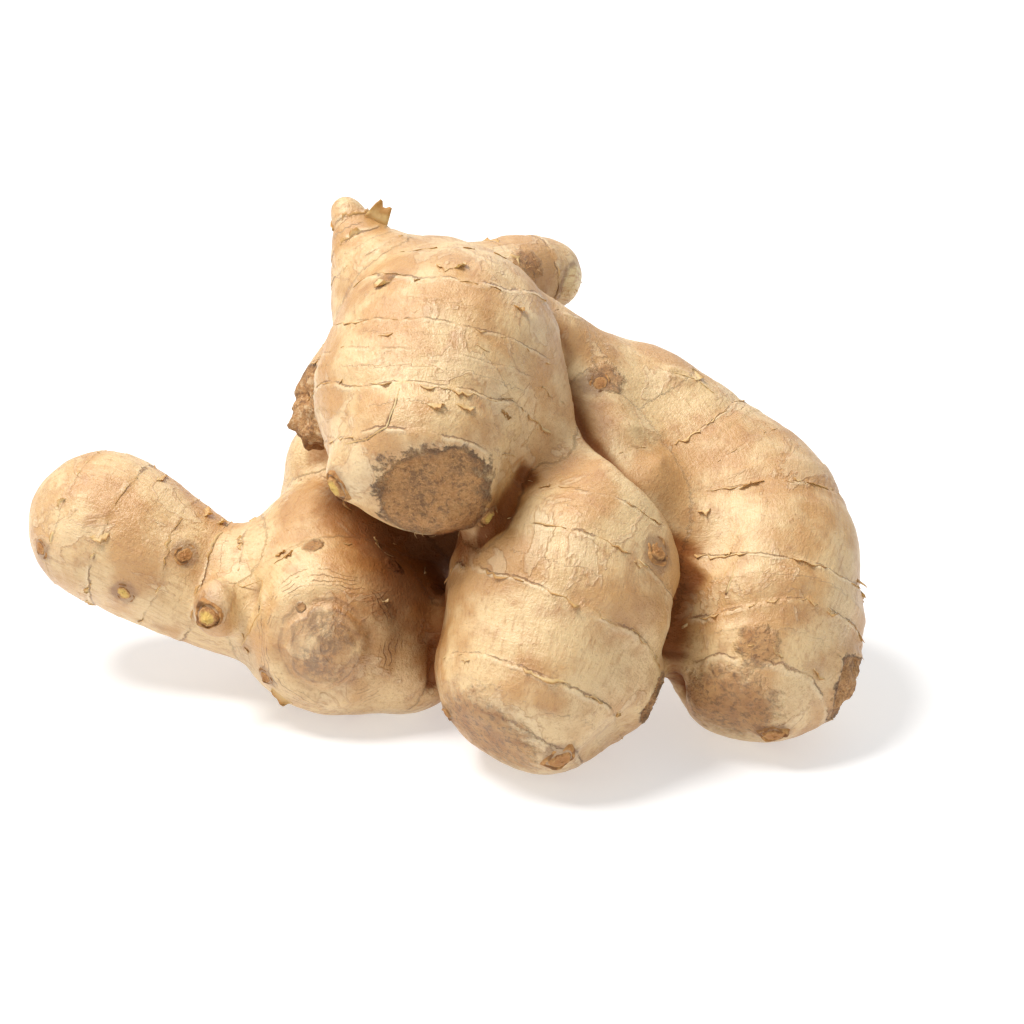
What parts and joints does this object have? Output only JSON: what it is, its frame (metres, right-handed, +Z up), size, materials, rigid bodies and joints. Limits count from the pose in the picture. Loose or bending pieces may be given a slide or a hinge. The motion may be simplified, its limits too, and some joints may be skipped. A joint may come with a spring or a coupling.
{
  "type": "ginger root",
  "caption": "Whole fresh ginger root (rhizome) with thick knobbly fingers, thin pale brown ringed skin, broken-end scars, buds and flaking scales, lying flat.",
  "frame": {"origin": "bottom centre of the bounding box, on the surface the root lies on", "axes": "+Z up; +X along the longest extent, towards the two side-by-side fingers; -Y towards the front, where those fingers point"},
  "size_m": [0.1486, 0.1096, 0.0845],
  "materials": {
    "skin": "thin papery corky skin, pale tan, satin, with brown ring lines and scars"
  },
  "bodies": {
    "root": {"ginger_root": "skin"}
  },
  "joints": []
}
